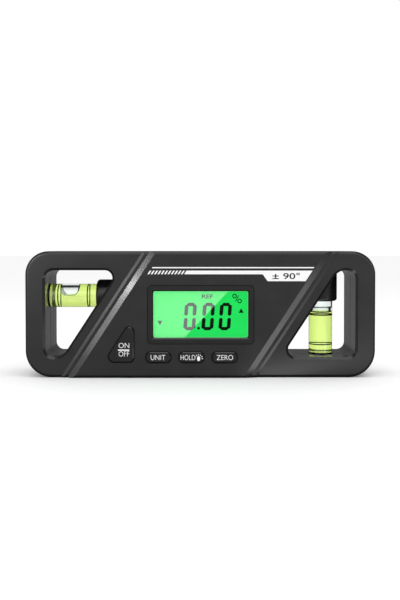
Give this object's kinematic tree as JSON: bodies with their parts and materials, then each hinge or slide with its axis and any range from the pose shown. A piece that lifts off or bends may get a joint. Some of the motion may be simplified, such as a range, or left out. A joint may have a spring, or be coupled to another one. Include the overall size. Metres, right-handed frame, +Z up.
{
  "type": "digital pocket level",
  "caption": "Handheld digital level with a backlit angle display, push buttons and a bubble vial in each of two slanted windows.",
  "frame": {"origin": "middle of the lower measuring face, on the parting plane between front and rear cover", "axes": "+X along the level to the vertical vial's end, the display faces -Y, +Z up"},
  "size_m": [0.1596, 0.0288, 0.0576],
  "materials": {
    "body_black": "fine satin texture",
    "cap_black": "satin",
    "bezel_black": "semi-gloss",
    "lens_clear": "clear",
    "display_green": "backlit",
    "backlight_white": "moulded",
    "holder_black": "moulded",
    "board_green": "solder mask",
    "chip_black": "moulded",
    "switch_metal": "plain",
    "plunger_black": "moulded",
    "vial_clear": "polished",
    "vial_fluid": "yellow-green liquid",
    "cup_black": "gloss",
    "cell_wrap": "printed sleeve",
    "contact_nickel": "nickel plated",
    "magnet_nickel": "nickel plated",
    "screw_steel": "blackened"
  },
  "bodies": {
    "housing": {"front_cover": "body_black", "rear_cover": "body_black", "display_bezel": "bezel_black", "display_lens": "lens_clear", "lcd_panel": "display_green", "lcd_backlight": "backlight_white", "lcd_holder": "holder_black", "circuit_board": "board_green", "tact_switches": "switch_metal", "controller_chip": "chip_black", "tilt_sensor": "chip_black", "horizontal_vial": "vial_clear", "horizontal_vial_plug": "vial_clear", "horizontal_vial_fluid": "vial_fluid", "horizontal_vial_holder": "cup_black", "vertical_vial": "vial_clear", "vertical_vial_plug": "vial_clear", "vertical_vial_fluid": "vial_fluid", "vertical_vial_holder": "cup_black", "battery_upper": "cell_wrap", "battery_lower": "cell_wrap", "bridge_plate": "contact_nickel", "contact_plate_upper": "contact_nickel", "contact_plate_lower": "contact_nickel", "case_screws": "screw_steel", "base_magnets": "magnet_nickel"},
    "on_off_key": {"on_off_button": "cap_black", "on_off_plunger": "plunger_black"},
    "unit_key": {"unit_button": "cap_black", "unit_plunger": "plunger_black"},
    "hold_key": {"hold_button": "cap_black", "hold_plunger": "plunger_black"},
    "zero_key": {"zero_button": "cap_black", "zero_plunger": "plunger_black"},
    "battery_door": {"battery_door": "body_black"}
  },
  "joints": [
    {"name": "on_off_press", "type": "slide", "parent": "housing", "child": "on_off_key", "axis": [0, 1, 0], "range_m": [0, 0.0005], "stiffness_N_per_m": 600, "springref_m": -0.001},
    {"name": "unit_press", "type": "slide", "parent": "housing", "child": "unit_key", "axis": [0, 1, 0], "range_m": [0, 0.0005], "stiffness_N_per_m": 600, "springref_m": -0.001},
    {"name": "hold_press", "type": "slide", "parent": "housing", "child": "hold_key", "axis": [0, 1, 0], "range_m": [0, 0.0005], "stiffness_N_per_m": 600, "springref_m": -0.001},
    {"name": "zero_press", "type": "slide", "parent": "housing", "child": "zero_key", "axis": [0, 1, 0], "range_m": [0, 0.0005], "stiffness_N_per_m": 600, "springref_m": -0.001},
    {"name": "battery_door_tilt", "type": "hinge", "parent": "housing", "child": "battery_door", "pos_m": [-0.03305, 0.01375, 0.0285], "axis": [0, 0, 1], "range_deg": [0, 45]}
  ]
}
